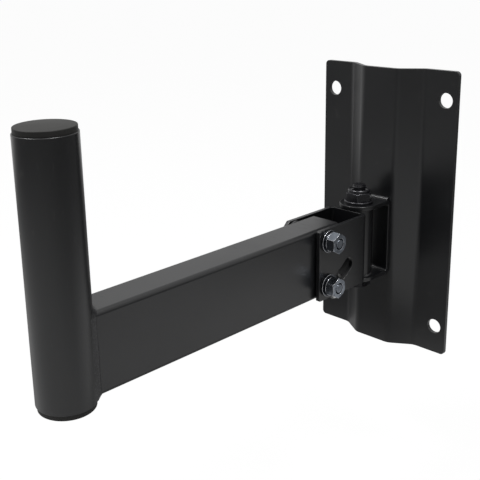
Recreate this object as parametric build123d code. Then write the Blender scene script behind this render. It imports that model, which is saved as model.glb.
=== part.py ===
from build123d import *
import os
from math import cos, radians, sin, sqrt

# Speaker wall bracket: a folded wall plate carries an arm that swivels and tilts, and ends in a speaker pole.
# Sizes are in millimetres. X runs along the wall, Y goes into the wall and Z is up.
# The origin is the middle of the wall plate's four fixing holes, on the face that meets the wall.

# Wall plate
PLATE_WIDTH = 116.0
PLATE_HEIGHT = 214.0
PLATE_THICK = 3.0
PLATE_CORNER_R = 3.0
PLATE_BEND_R = 8.0
FLANGE_WIDTH = 27.5
RAISE_DEPTH = 11.0
RAISE_FLAT = 28.0
FIXING_FROM_SIDE = 9.5
FIXING_FROM_END = 21.0
FIXING_HOLE_D = 11.0

# Tight bends of the swivel bracket and the yoke, and the broken edges of tubes and washers
BEND_INNER_R = 2.5
EDGE_BREAK = 0.4

# Swivel: a bolt stands upright through the wall bracket's two ears and the yoke's barrel
HINGE_Z = -19.5
SWIVEL_REACH = 21.0
EAR_THICK = 3.0
YOKE_EAR_GAP = 0.5
SWIVEL_BOLT_D = 10.0
SWIVEL_HOLE_CLEARANCE = 0.25
BARREL_D = 21.3
BARREL_WALL = 2.65
BUSH_FLANGE = 1.0
BUSH_LENGTH = 12.0
BUSH_PLAY = 0.06

# Yoke: a folded U that straddles the arm
YOKE_THICK = 3.0
YOKE_PAST_ARM = 0.35
YOKE_PAST_PIVOT = 9.5
YOKE_NUT_SIDE_CORNER_R = 1.5
YOKE_HEAD_SIDE_CHAMFER = 4.0
FRICTION_WASHER = 1.0
FRICTION_WASHER_D = 16.0

# Tilt: the pivot bolt and the lock bolt cross the arm, and the lock bolt runs in the ears' arc slots
TILT_BOLT_D = 8.0
TILT_LIMIT = 45.0
TILT_CLEARANCE = 0.7
PIVOT_BELOW_ARM_TOP = 8.4
LOCK_ABOVE_ARM_BOTTOM = 9.9
SLOT_WIDTH = 10.0
SLOT_START = -2.5
SLOT_END = 44.0
PIVOT_PLAY = 0.06
ARM_HOLE_CLEARANCE = 0.2

# Arm tube
ARM_WIDTH = 25.4
ARM_DEPTH = 50.8
ARM_WALL = 2.0
ARM_CORNER_R = 3.0
ARM_PAST_PIVOT = 16.5

# Pole
POLE_D = 35.0
POLE_WALL = 2.0
POLE_ROOT_EXTRA = 0.2
POLE_ROOT_PAST_WELD = 0.8
POLE_ROOT_TAPER = 8.0
POLE_FROM_SWIVEL = 265.0
POLE_ABOVE_ARM = 100.6
POLE_BELOW_ARM = 1.6

# Pole caps
CAP_INSET = 0.75
CAP_HEAD = 3.6
CAP_EDGE_R = 1.0
CAP_SKIRT = 14.0
CAP_SKIRT_WALL = 1.8
CAP_SKIRT_PLAY = 0.6
CAP_RIBS = 8
CAP_RIB_WIDTH = 1.2
CAP_RIB_PLAY = 0.05

# Weld beads
ARM_BEAD = 2.4
BARREL_BEAD = 1.5
BRACKET_BEAD = 2.2

# Fasteners: flat sizes across the hexagons and thicknesses of M10 and M8
M10_FLATS = 17.0
M10_HEAD = 6.4
M10_NUT_BODY = 6.0
M10_NUT_COLLAR = 2.5
M10_COLLAR_D = 16.0
M10_COLLAR_WALL = 1.3
M10_WASHER_D = 21.0
M10_WASHER = 2.0
M8_HEAD_D = 14.0
M8_HEAD = 4.4
M8_HEAD_RIM = 0.8
M8_SOCKET_FLATS = 5.0
M8_SOCKET_DEPTH = 2.6
M8_FLATS = 13.0
M8_NUT = 6.5
M8_WASHER_D = 16.0
M8_WASHER = 1.6
M8_SPRING_D = 13.6
M8_SPRING = 1.8
SPRING_SPLIT = 1.4
SPRING_SPLIT_ANGLE = 20.0
WASHER_PLAY = 0.2
HEX_CHAMFER = 0.9
HEAD_DISH = 0.6
HEAD_DISH_SHARE = 0.62
BOLT_END_CHAMFER = 0.9
BOLT_PAST_NUT = 3.5
TILT_BOLT_PAST_NUT = 0.1

# Sizes and places worked out from the values above
FIXING_X = PLATE_WIDTH / 2 - FIXING_FROM_SIDE
FIXING_Z = PLATE_HEIGHT / 2 - FIXING_FROM_END
RAISED_FACE_Y = -(RAISE_DEPTH + PLATE_THICK)
SWIVEL_Y = RAISED_FACE_Y - SWIVEL_REACH
EAR_NOSE_R = RAISE_FLAT / 2
YOKE_HEIGHT = ARM_DEPTH + 2 * YOKE_PAST_ARM
BRACKET_INNER = YOKE_HEIGHT + 2 * YOKE_EAR_GAP
BRACKET_OUTER = BRACKET_INNER + 2 * EAR_THICK
EAR_TOP_Z = HINGE_Z + BRACKET_OUTER / 2
EAR_BOTTOM_Z = HINGE_Z - BRACKET_OUTER / 2
BARREL_LENGTH = BRACKET_INNER - 2 * BUSH_FLANGE
SWIVEL_BOLT_LENGTH = BRACKET_OUTER + M10_WASHER + M10_NUT_BODY + M10_NUT_COLLAR + BOLT_PAST_NUT
WEB_OUTER_Y = SWIVEL_Y - BARREL_D / 2
EAR_INNER_X = ARM_WIDTH / 2 + FRICTION_WASHER
EAR_OUTER_X = EAR_INNER_X + YOKE_THICK
TILT_BOLT_LENGTH = 2 * (EAR_OUTER_X + M8_WASHER) + M8_SPRING + M8_NUT + TILT_BOLT_PAST_NUT
ARM_TOP_Z = HINGE_Z + ARM_DEPTH / 2
ARM_BOTTOM_Z = HINGE_Z - ARM_DEPTH / 2
LOCK_RADIUS = ARM_DEPTH - PIVOT_BELOW_ARM_TOP - LOCK_ABOVE_ARM_BOTTOM
PIVOT_TO_CORNER = ARM_DEPTH - PIVOT_BELOW_ARM_TOP
CORNER_SWING = ARM_PAST_PIVOT * cos(radians(TILT_LIMIT)) + PIVOT_TO_CORNER * sin(radians(TILT_LIMIT))
PIVOT_Y = WEB_OUTER_Y - YOKE_THICK - TILT_CLEARANCE - CORNER_SWING
PIVOT = (PIVOT_Y, ARM_TOP_Z - PIVOT_BELOW_ARM_TOP)
LOCK = (PIVOT_Y, ARM_BOTTOM_Z + LOCK_ABOVE_ARM_BOTTOM)
ARM_END_Y = PIVOT_Y + ARM_PAST_PIVOT
POLE_Y = SWIVEL_Y - POLE_FROM_SWIVEL
POLE_TOP_Z = ARM_TOP_Z + POLE_ABOVE_ARM
POLE_BOTTOM_Z = ARM_BOTTOM_Z - POLE_BELOW_ARM
POLE_R = POLE_D / 2
POLE_ROOT_R = POLE_R + POLE_ROOT_EXTRA
POLE_ROOT_TOP_Z = ARM_TOP_Z + ARM_BEAD + POLE_ROOT_PAST_WELD


def folded_sheet(points, thickness, inner_radius):
    """Section of a folded sheet that lies to the right of the line through the points."""
    radii = []
    for before, corner, after in zip(points, points[1:], points[2:]):
        turn = (corner[0] - before[0]) * (after[1] - corner[1]) - (corner[1] - before[1]) * (after[0] - corner[0])
        radii.append(inner_radius if turn > 0 else inner_radius + thickness)
    line = FilletPolyline(*points, radius=radii)
    return make_face(offset(line, amount=thickness, side=Side.RIGHT, closed=True).edges())


def upright(x, y, bottom, radius, height):
    """Round bar that stands on its end."""
    return Pos(x, y, bottom) * Cylinder(radius, height, align=(Align.CENTER, Align.CENTER, Align.MIN))


def crosswise(centre, start_x, radius, length):
    """Round bar along X from start_x, about a point given as (Y, Z)."""
    bar = Cylinder(radius, length, align=(Align.CENTER, Align.CENTER, Align.MIN))
    return Pos(start_x, *centre) * Rot(0, 90, 0) * bar


def hexagon(flats, height, chamfer_bottom, chamfer_top):
    """Hexagon bar end with the turned chamfers of a nut or a bolt head, standing on Z = 0."""
    corner_r = flats / sqrt(3)
    turned = Cylinder(corner_r, height, align=(Align.CENTER, Align.CENTER, Align.MIN))
    rims = turned.edges().filter_by(GeomType.CIRCLE).sort_by(Axis.Z)
    chosen = ([rims[0]] if chamfer_bottom else []) + ([rims[-1]] if chamfer_top else [])
    turned = chamfer(chosen, HEX_CHAMFER / sqrt(3), HEX_CHAMFER)
    return extrude(RegularPolygon(corner_r, 6), height) & turned


def shank(diameter, length):
    """Bolt shank that stands on Z = 0 with its end chamfered."""
    body = Cylinder(diameter / 2, length, align=(Align.CENTER, Align.CENTER, Align.MIN))
    return chamfer(body.edges().sort_by(Axis.Z)[-1], BOLT_END_CHAMFER)


def hex_bolt(diameter, length, flats, head):
    """Hexagon bolt along Z: the shank starts at Z = 0 and the dished head hangs below."""
    body = Pos(0, 0, -head) * hexagon(flats, head, True, False)
    dish = Pos(0, 0, -head) * Cylinder(flats * HEAD_DISH_SHARE / 2, 2 * HEAD_DISH)
    return shank(diameter, length) + body - dish


def button_bolt(diameter, length):
    """Bolt along Z with a low round head and a hexagon socket below Z = 0."""
    head_r = M8_HEAD_D / 2
    rise = M8_HEAD - M8_HEAD_RIM
    crown_r = (head_r**2 + rise**2) / (2 * rise)
    head = upright(0, 0, -M8_HEAD, head_r, M8_HEAD) & (Pos(0, 0, crown_r - M8_HEAD) * Sphere(crown_r))
    socket = extrude(RegularPolygon(M8_SOCKET_FLATS / sqrt(3), 6), 2 * M8_SOCKET_DEPTH, both=True)
    tip = Pos(0, 0, -M8_HEAD) * Cylinder(M8_SOCKET_FLATS, 2 * M8_SOCKET_DEPTH)
    return shank(diameter, length) + head - (Pos(0, 0, -M8_HEAD) * socket & tip)


def ring(outer_d, bore_d, height):
    """Flat ring that stands on Z = 0."""
    return upright(0, 0, 0, outer_d / 2, height) - Cylinder(bore_d / 2, 3 * height)


def spring_washer(outer_d, bore_d, height):
    """Split lock washer, pressed flat, with its slanting cut."""
    cut = Rot(SPRING_SPLIT_ANGLE, 0, 0) * Box(outer_d, SPRING_SPLIT, 4 * height)
    return ring(outer_d, bore_d, height) - Pos(outer_d / 2, 0, height / 2) * cut


def wall_plate():
    """Sheet with a raised middle that stands off the wall, and a fixing hole near each corner."""
    half, flat = PLATE_WIDTH / 2, RAISE_FLAT / 2
    foot = half - FLANGE_WIDTH
    outline = [(-half, 0), (-foot, 0), (-flat, -RAISE_DEPTH), (flat, -RAISE_DEPTH), (foot, 0), (half, 0)]
    section = folded_sheet(outline, PLATE_THICK, PLATE_BEND_R)
    plate = Pos(0, 0, -PLATE_HEIGHT / 2) * extrude(section, PLATE_HEIGHT)
    corners = plate.edges().filter_by(Axis.Y)
    plate = fillet(corners, PLATE_CORNER_R)
    for x in (-FIXING_X, FIXING_X):
        for z in (-FIXING_Z, FIXING_Z):
            plate -= Pos(x, 0, z) * Rot(90, 0, 0) * Cylinder(FIXING_HOLE_D / 2, 3 * PLATE_THICK)
    return plate


def swivel_bracket():
    """Folded channel on the raised face whose two round-nosed ears hold the swivel bolt."""
    nose_y = SWIVEL_Y - EAR_NOSE_R
    corners = [
        (nose_y, EAR_TOP_Z),
        (RAISED_FACE_Y, EAR_TOP_Z),
        (RAISED_FACE_Y, EAR_BOTTOM_Z),
        (nose_y, EAR_BOTTOM_Z),
    ]
    section = Plane.YZ * folded_sheet(corners, EAR_THICK, BEND_INNER_R)
    channel = extrude(section, EAR_NOSE_R, both=True)
    depth = RAISED_FACE_Y - SWIVEL_Y
    plan = Pos(0, SWIVEL_Y + depth / 2) * Rectangle(2 * EAR_NOSE_R, depth) + Pos(0, SWIVEL_Y) * Circle(EAR_NOSE_R)
    channel &= Pos(0, 0, EAR_BOTTOM_Z) * extrude(plan, BRACKET_OUTER)
    hole_r = SWIVEL_BOLT_D / 2 + SWIVEL_HOLE_CLEARANCE
    return channel - upright(0, SWIVEL_Y, EAR_BOTTOM_Z - EAR_THICK, hole_r, BRACKET_OUTER + 2 * EAR_THICK)


def bracket_welds():
    """Beads that fill the grooves between the channel's bends and the raised face."""
    beads = []
    length = 2 * (EAR_NOSE_R - BRACKET_BEAD)
    outer_r = BEND_INNER_R + EAR_THICK
    for edge_z, inward in ((EAR_TOP_Z, -1), (EAR_BOTTOM_Z, 1)):
        centre_z = edge_z + inward * BRACKET_BEAD / 2
        bead = Pos(0, RAISED_FACE_Y, centre_z) * Rot(0, 90, 0) * Cylinder(BRACKET_BEAD, length)
        bend = Pos(0, RAISED_FACE_Y - outer_r, edge_z + inward * outer_r) * Rot(0, 90, 0) * Cylinder(outer_r, 2 * length)
        wall = Pos(0, RAISED_FACE_Y, centre_z) * Box(
            2 * length, length, length, align=(Align.CENTER, Align.MIN, Align.CENTER)
        )
        beads.append(bead - bend - wall)
    return beads


def swivel_bolt():
    """Long bolt up through both ears, with its head under the lower one."""
    bolt = hex_bolt(SWIVEL_BOLT_D, SWIVEL_BOLT_LENGTH, M10_FLATS, M10_HEAD)
    return Pos(0, SWIVEL_Y, EAR_BOTTOM_Z) * bolt


def swivel_washer():
    """Flat washer on the upper ear, with its upper rim broken."""
    washer = ring(M10_WASHER_D, SWIVEL_BOLT_D + 2 * WASHER_PLAY, M10_WASHER)
    rim = washer.edges().filter_by(GeomType.CIRCLE).group_by(Axis.Z)[-1].sort_by(SortBy.LENGTH)[-1]
    return Pos(0, SWIVEL_Y, EAR_TOP_Z) * chamfer(rim, EDGE_BREAK)


def nut_bottom_z():
    """Height of the swivel nut's seat."""
    return EAR_TOP_Z + M10_WASHER


def swivel_nut():
    """Lock nut: a hexagon with a round collar rolled over the locking ring."""
    body = hexagon(M10_FLATS, M10_NUT_BODY, True, True)
    collar = upright(0, 0, 0, M10_COLLAR_D / 2, M10_NUT_BODY + M10_NUT_COLLAR)
    collar = chamfer(collar.edges().filter_by(GeomType.CIRCLE).sort_by(Axis.Z)[-1], M10_COLLAR_WALL / 2)
    nut = body + collar
    nut -= upright(0, 0, M10_NUT_BODY, M10_COLLAR_D / 2 - M10_COLLAR_WALL, M10_NUT_COLLAR + 1)
    nut -= Cylinder(SWIVEL_BOLT_D / 2, 4 * M10_NUT_BODY)
    return Pos(0, SWIVEL_Y, nut_bottom_z()) * nut


def swivel_nut_insert():
    """Nylon locking ring inside the nut's collar."""
    insert = ring(M10_COLLAR_D - 2 * M10_COLLAR_WALL, SWIVEL_BOLT_D, M10_NUT_COLLAR * 0.6)
    return Pos(0, SWIVEL_Y, nut_bottom_z() + M10_NUT_BODY) * insert


def yoke():
    """Folded U with a pivot hole and an arc slot in each ear, welded to the barrel by its web."""
    tip_y = PIVOT_Y - YOKE_PAST_PIVOT
    corners = [(EAR_OUTER_X, tip_y), (EAR_OUTER_X, WEB_OUTER_Y), (-EAR_OUTER_X, WEB_OUTER_Y), (-EAR_OUTER_X, tip_y)]
    section = folded_sheet(corners[::-1], YOKE_THICK, BEND_INNER_R)
    body = Pos(0, 0, HINGE_Z - YOKE_HEIGHT / 2) * extrude(section, YOKE_HEIGHT)
    tips = body.edges().filter_by(Axis.X).group_by(Axis.Y)[0]
    body = chamfer(tips.filter_by(lambda edge: edge.center().X < 0), YOKE_HEAD_SIDE_CHAMFER)
    tips = body.edges().filter_by(Axis.X).group_by(Axis.Y)[0]
    body = fillet(tips.filter_by(lambda edge: edge.center().X > 0), YOKE_NUT_SIDE_CORNER_R)
    span = 2 * EAR_OUTER_X + 2 * YOKE_THICK
    body -= crosswise(PIVOT, -span / 2, TILT_BOLT_D / 2 + PIVOT_PLAY, span)
    path = CenterArc(PIVOT, LOCK_RADIUS, SLOT_START - 90, SLOT_END - SLOT_START)
    slot = extrude(Plane.YZ * SlotArc(path, SLOT_WIDTH), span / 2, both=True)
    return body - slot


def swivel_barrel():
    """Tube behind the yoke's web that turns about the swivel bolt."""
    bottom = HINGE_Z - BARREL_LENGTH / 2
    tube = upright(0, SWIVEL_Y, bottom, BARREL_D / 2, BARREL_LENGTH)
    return tube - upright(0, SWIVEL_Y, bottom - 1, BARREL_D / 2 - BARREL_WALL, BARREL_LENGTH + 2)


def barrel_welds():
    """Two upright beads in the crevices between the barrel and the yoke's web."""
    barrel_r = BARREL_D / 2
    reach = 2 * sqrt(barrel_r * BARREL_BEAD)
    bead_y = WEB_OUTER_Y + BARREL_BEAD
    share = barrel_r / (barrel_r + BARREL_BEAD)
    touch = (reach * share, SWIVEL_Y + (bead_y - SWIVEL_Y) * share)
    beads = []
    length = min(YOKE_HEIGHT, BARREL_LENGTH) - 2 * BARREL_BEAD
    for side in (-1, 1):
        start = (side * reach / 3, WEB_OUTER_Y)
        foot = (side * reach, WEB_OUTER_Y)
        shoulder = (side * touch[0], touch[1])
        profile = make_face(Polyline(start, foot, shoulder, (side * reach / 3, touch[1]), close=True))
        bead = Pos(0, 0, HINGE_Z - length / 2) * extrude(profile, length)
        beads.append(bead - upright(0, SWIVEL_Y, HINGE_Z - length, barrel_r, 2 * length))
    return beads


def swivel_bush(upper):
    """Flanged bush pressed into one end of the barrel, with its flange against the ear."""
    barrel_bore = BARREL_D / 2 - BARREL_WALL
    body = upright(0, 0, 0, BARREL_D / 2, BUSH_FLANGE) + upright(0, 0, 0, barrel_bore, BUSH_LENGTH)
    body -= Cylinder(SWIVEL_BOLT_D / 2 + BUSH_PLAY, 3 * BUSH_LENGTH)
    seat = HINGE_Z + (BRACKET_INNER / 2 if upper else -BRACKET_INNER / 2)
    return Pos(0, SWIVEL_Y, seat) * (Rot(180, 0, 0) * body if upper else body)


def arm_outline(length):
    """Outside of the arm's tube, from its open end towards the pole."""
    section = Plane.XZ * RectangleRounded(ARM_WIDTH, ARM_DEPTH, ARM_CORNER_R)
    return Pos(0, ARM_END_Y, HINGE_Z) * extrude(section, length)


def arm_tube():
    """Rectangular tube, open at the yoke and cut to the pole's curve at the other end."""
    length = ARM_END_Y - POLE_Y
    bore = RectangleRounded(ARM_WIDTH - 2 * ARM_WALL, ARM_DEPTH - 2 * ARM_WALL, ARM_CORNER_R - ARM_WALL)
    inside = Pos(0, ARM_END_Y + 1, HINGE_Z) * extrude(Plane.XZ * bore, length + 2)
    tube = arm_outline(length) - inside
    tube -= upright(0, POLE_Y, POLE_BOTTOM_Z, POLE_ROOT_R, POLE_TOP_Z - POLE_BOTTOM_Z)
    for centre in (PIVOT, LOCK):
        tube -= crosswise(centre, -ARM_WIDTH, TILT_BOLT_D / 2 + ARM_HOLE_CLEARANCE, 2 * ARM_WIDTH)
    return tube


def arm_weld():
    """Bead that runs all round the arm where it meets the pole."""
    length = ARM_END_Y - POLE_Y
    wide = RectangleRounded(ARM_WIDTH + 2 * ARM_BEAD, ARM_DEPTH + 2 * ARM_BEAD, ARM_CORNER_R + ARM_BEAD)
    height = POLE_TOP_Z - POLE_BOTTOM_Z
    collar = Pos(0, ARM_END_Y, HINGE_Z) * extrude(Plane.XZ * wide, length)
    collar &= upright(0, POLE_Y, POLE_BOTTOM_Z, POLE_ROOT_R + ARM_BEAD, height)
    return collar - upright(0, POLE_Y, POLE_BOTTOM_Z, POLE_ROOT_R, height) - arm_outline(length)


def pole_tube():
    """Round tube: the speaker's socket slides over the free length, and the welded root keeps its full size."""
    height = POLE_TOP_Z - POLE_BOTTOM_Z
    tube = upright(0, POLE_Y, POLE_BOTTOM_Z, POLE_R, height)
    tube += upright(0, POLE_Y, POLE_BOTTOM_Z, POLE_ROOT_R, POLE_ROOT_TOP_Z - POLE_BOTTOM_Z)
    taper = Cone(POLE_ROOT_R, POLE_R, POLE_ROOT_TAPER, align=(Align.CENTER, Align.CENTER, Align.MIN))
    tube += Pos(0, POLE_Y, POLE_ROOT_TOP_Z) * taper
    rims = tube.edges().filter_by(GeomType.CIRCLE).sort_by(Axis.Z)
    tube = chamfer([rims[0], rims[-1]], EDGE_BREAK)
    return tube - upright(0, POLE_Y, POLE_BOTTOM_Z - 1, POLE_R - POLE_WALL, height + 2)


def pole_cap(upper):
    """Push-in cap: a round-edged head over a thin skirt with crush ribs."""
    bore_r = POLE_R - POLE_WALL
    skirt_r = bore_r - CAP_SKIRT_PLAY
    head = upright(0, 0, 0, POLE_R - CAP_INSET, CAP_HEAD)
    cap = fillet(head.edges().filter_by(GeomType.CIRCLE).sort_by(Axis.Z)[-1], CAP_EDGE_R)
    skirt = upright(0, 0, -CAP_SKIRT, skirt_r, CAP_SKIRT)
    for rib in range(CAP_RIBS):
        reach = bore_r - CAP_RIB_PLAY
        blade = Box(reach, CAP_RIB_WIDTH, CAP_SKIRT, align=(Align.MIN, Align.CENTER, Align.MAX))
        skirt += Rot(0, 0, 360 * rib / CAP_RIBS) * blade
    skirt -= upright(0, 0, -CAP_SKIRT - 1, skirt_r - CAP_SKIRT_WALL, CAP_SKIRT + 1)
    seat = POLE_TOP_Z if upper else POLE_BOTTOM_Z
    return Pos(0, POLE_Y, seat) * ((cap + skirt) if upper else Rot(180, 0, 0) * (cap + skirt))


def facing(centre, x, part):
    """Stand a part that was drawn along +Z on the plane at x, pointing along +X."""
    return Pos(x, *centre) * Rot(0, 90, 0) * part


def both_sides(centre, x, part):
    """The same part on each side of the arm, pointing outwards from the planes at x and -x."""
    return [facing(centre, x, part), Pos(-x, *centre) * Rot(0, -90, 0) * part]


def clamp_bolt(centre):
    """Bolt across the arm with its head on the far side."""
    bolt = button_bolt(TILT_BOLT_D, TILT_BOLT_LENGTH)
    return facing(centre, -(EAR_OUTER_X + M8_WASHER), bolt)


def clamp_washers(centre):
    """Flat washers on the two ears' outer faces."""
    washer = ring(M8_WASHER_D, TILT_BOLT_D + 2 * WASHER_PLAY, M8_WASHER)
    return both_sides(centre, EAR_OUTER_X, washer)


def clamp_spring(centre):
    """Split washer under the nut."""
    washer = spring_washer(M8_SPRING_D, TILT_BOLT_D + 2 * WASHER_PLAY, M8_SPRING)
    return facing(centre, EAR_OUTER_X + M8_WASHER, washer)


def clamp_nut(centre):
    """Hexagon nut at the bolt's end."""
    nut = hexagon(M8_FLATS, M8_NUT, True, True) - Cylinder(TILT_BOLT_D / 2, 4 * M8_NUT)
    return facing(centre, EAR_OUTER_X + M8_WASHER + M8_SPRING, nut)


def friction_washers(centre):
    """Nylon washers between the arm and the yoke's ears."""
    washer = ring(FRICTION_WASHER_D, TILT_BOLT_D + 2 * WASHER_PLAY, FRICTION_WASHER)
    return both_sides(centre, ARM_WIDTH / 2, washer)


def clamp_set(name, centre):
    """All the pieces of one bolt that clamps the yoke to the arm."""
    nut_side, head_side = clamp_washers(centre)
    inner_nut_side, inner_head_side = friction_washers(centre)
    return {
        f"{name}_bolt": clamp_bolt(centre),
        f"{name}_washer_nut_side": nut_side,
        f"{name}_washer_head_side": head_side,
        f"{name}_spring_washer": clamp_spring(centre),
        f"{name}_nut": clamp_nut(centre),
        f"{name}_friction_washer_nut_side": inner_nut_side,
        f"{name}_friction_washer_head_side": inner_head_side,
    }


PARTS = {
    "wall_plate": wall_plate(),
    "swivel_bracket": swivel_bracket(),
    "bracket_welds": bracket_welds(),
    "swivel_bolt": swivel_bolt(),
    "swivel_washer": swivel_washer(),
    "swivel_nut": swivel_nut(),
    "swivel_nut_insert": swivel_nut_insert(),
    "yoke": yoke(),
    "swivel_barrel": swivel_barrel(),
    "barrel_welds": barrel_welds(),
    "swivel_bush_upper": swivel_bush(True),
    "swivel_bush_lower": swivel_bush(False),
    "arm_tube": arm_tube(),
    "arm_weld": arm_weld(),
    "pole_tube": pole_tube(),
    "pole_cap_top": pole_cap(True),
    "pole_cap_bottom": pole_cap(False),
    **clamp_set("pivot", PIVOT),
    **clamp_set("lock", LOCK),
}


def solids_of(part):
    """One solid, or a compound of the separate solids that share a node."""
    pieces = part if isinstance(part, list) else [part]
    solids = [solid for piece in pieces for solid in piece.solids()]
    return solids[0] if len(solids) == 1 else Compound(children=solids)


os.makedirs("parts", exist_ok=True)
for node, part in PARTS.items():
    export_step(solids_of(part), f"parts/{node}.step")
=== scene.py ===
import logging
from collections.abc import Sequence
from dataclasses import dataclass, field
from enum import Enum
from math import ceil, cos, pi, radians, sin, sqrt, tau

import bmesh
import bpy
from mathutils import Matrix, Vector

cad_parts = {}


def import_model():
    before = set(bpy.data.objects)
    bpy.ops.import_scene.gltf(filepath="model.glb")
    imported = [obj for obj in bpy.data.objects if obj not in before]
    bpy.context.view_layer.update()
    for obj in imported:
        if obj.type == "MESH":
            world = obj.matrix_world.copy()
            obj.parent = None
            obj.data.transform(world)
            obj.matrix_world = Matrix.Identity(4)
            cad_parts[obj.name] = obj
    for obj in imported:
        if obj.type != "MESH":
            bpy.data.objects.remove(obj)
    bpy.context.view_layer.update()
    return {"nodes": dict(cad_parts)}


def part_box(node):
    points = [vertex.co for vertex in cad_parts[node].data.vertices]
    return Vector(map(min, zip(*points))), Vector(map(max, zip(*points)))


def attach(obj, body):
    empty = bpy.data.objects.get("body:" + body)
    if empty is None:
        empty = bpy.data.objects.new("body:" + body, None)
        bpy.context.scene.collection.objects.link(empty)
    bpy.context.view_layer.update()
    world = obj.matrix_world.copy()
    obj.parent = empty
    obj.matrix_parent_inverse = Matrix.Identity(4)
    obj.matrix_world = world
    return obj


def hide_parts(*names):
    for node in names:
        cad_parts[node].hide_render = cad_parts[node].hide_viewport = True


LOG = logging.getLogger("speaker_wall_bracket")
MM = 0.001
# A step that keeps two faces from sharing a plane
HAIR = 0.02 * MM
# Points closer than this many metres are one point
MERGE = 1e-7
EDGE_LAYER = "broken_edge"
Colour = tuple[float, float, float]


class Slot(Enum):
    """The record's material slots, passed along with new pieces but not used."""

    PAINT = "black_paint"
    PLASTIC = "black_plastic"
    DARK_STEEL = "dark_steel"
    ZINC = "zinc_steel"


class Body(Enum):
    """The bodies that pieces ride on."""

    WALL = "wall"
    YOKE = "yoke"
    ARM = "arm"


# Shader maths


class Value:
    """A socket that adds Math nodes when it is used in an expression."""

    def __init__(self, shader: "Shader", socket: bpy.types.NodeSocket) -> None:
        """Wrap one output socket of a shader's tree."""
        self.shader = shader
        self.socket = socket

    def _math(self, operation: str, *terms: "Value | float") -> "Value":
        """Add one Math node over the given terms."""
        return self.shader.math(operation, *terms)

    def __add__(self, other: "Value | float") -> "Value":
        """Sum."""
        return self._math("ADD", self, other)

    def __radd__(self, other: float) -> "Value":
        """Sum with a number on the left."""
        return self._math("ADD", other, self)

    def __sub__(self, other: "Value | float") -> "Value":
        """Difference."""
        return self._math("SUBTRACT", self, other)

    def __rsub__(self, other: float) -> "Value":
        """Difference with a number on the left."""
        return self._math("SUBTRACT", other, self)

    def __mul__(self, other: "Value | float") -> "Value":
        """Product."""
        return self._math("MULTIPLY", self, other)

    def __rmul__(self, other: float) -> "Value":
        """Product with a number on the left."""
        return self._math("MULTIPLY", other, self)


class Shader:
    """A material's or a world's node tree, cleared and ready to be built."""

    def __init__(self, owner: bpy.types.Material | bpy.types.World) -> None:
        """Clear the tree of its owner.

        Args:
            owner: The material or world that shows the tree.
        """
        owner.use_nodes = True
        self.tree = owner.node_tree
        self.tree.nodes.clear()

    def node(
        self, kind: str, settings: dict[str, object] | None = None, **inputs: object
    ) -> bpy.types.Node:
        """Add a node, set its settings first, and then its sockets.

        Args:
            kind: The node's type, such as ShaderNodeTexNoise.
            settings: Properties of the node.
            **inputs: Socket values or links, by name with _ for spaces, or by place as in0.

        Returns:
            The new node.
        """
        node = self.tree.nodes.new(kind)
        for name, value in (settings or {}).items():
            setattr(node, name, value)
        for name, value in inputs.items():
            by_place = name[:2] == "in" and name[2:].isdigit()
            self._feed(node.inputs[int(name[2:]) if by_place else name.replace("_", " ")], value)
        return node

    def _feed(self, socket: bpy.types.NodeSocket, value: object) -> None:
        """Link a socket to another, or set its number or colour.

        Args:
            socket: The node's input.
            value: What it gets.
        """
        if isinstance(value, Value):
            self.tree.links.new(value.socket, socket)
        elif isinstance(value, bpy.types.NodeSocket):
            self.tree.links.new(value, socket)
        elif isinstance(value, tuple) and len(value) == 3 and socket.type == "RGBA":
            socket.default_value = (*value, 1.0)
        else:
            socket.default_value = value

    def value(self, node: bpy.types.Node, output: str | int = 0) -> Value:
        """One output of a node, ready for expressions."""
        return Value(self, node.outputs[output])

    def math(self, operation: str, *terms: Value | float) -> Value:
        """Add a Math node over two or three terms."""
        inputs = {f"in{place}": term for place, term in enumerate(terms)}
        return self.value(self.node("ShaderNodeMath", {"operation": operation}, **inputs))

    def larger(self, one: Value, other: Value | float) -> Value:
        """The larger of two values."""
        return self.math("MAXIMUM", one, other)

    def noise(self, cells: float, detail: float, stretch: tuple[float, float, float] = (1, 1, 1)) -> Value:
        """Noise over the piece's own coordinates.

        Args:
            cells: Cells per metre.
            detail: Octaves.
            stretch: How much finer the cells are along each axis.

        Returns:
            The noise, about 0 to 1.
        """
        place = self.node("ShaderNodeTexCoord").outputs["Object"]
        scaled = self.node("ShaderNodeMapping", None, Vector=place, Scale=stretch)
        return self.value(
            self.node("ShaderNodeTexNoise", None, Vector=scaled.outputs[0], Scale=cells, Detail=detail)
        )

    def ramp(self, source: Value, low: float, high: float) -> Value:
        """Spread a value so that it runs from 0 at low to 1 at high, smoothly."""
        settings = {"interpolation_type": "SMOOTHSTEP"}
        return self.value(self.node("ShaderNodeMapRange", settings, in0=source, in1=low, in2=high))

    def layer(self, name: str) -> Value:
        """A number kept on the mesh by name."""
        return self.value(self.node("ShaderNodeAttribute", {"attribute_name": name}), "Fac")

    def mix(self, share: Value, one: Colour | Value, other: Colour | Value) -> Value:
        """Blend two colours by a share of the second."""
        node = self.node("ShaderNodeMix", {"data_type": "RGBA"}, in0=share, in6=one, in7=other)
        return self.value(node, 2)

    def bump(self, height: Value, strength: float, distance: float) -> Value:
        """Turn a height into a normal."""
        inputs = {"Height": height, "Strength": strength, "Distance": distance}
        return self.value(self.node("ShaderNodeBump", None, **inputs))

    def blend(self, share: Value, one: bpy.types.Node, other: bpy.types.Node) -> bpy.types.Node:
        """Mix two surfaces or backgrounds by a share of the second."""
        ends = {"in1": one.outputs[0], "in2": other.outputs[0]}
        return self.node("ShaderNodeMixShader", None, in0=share, **ends)

    def surface(self, **inputs: object) -> None:
        """Finish the material with one principled surface."""
        principled = self.node("ShaderNodeBsdfPrincipled", None, **inputs)
        self.node("ShaderNodeOutputMaterial", None, Surface=principled.outputs[0])


# Finishes


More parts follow.
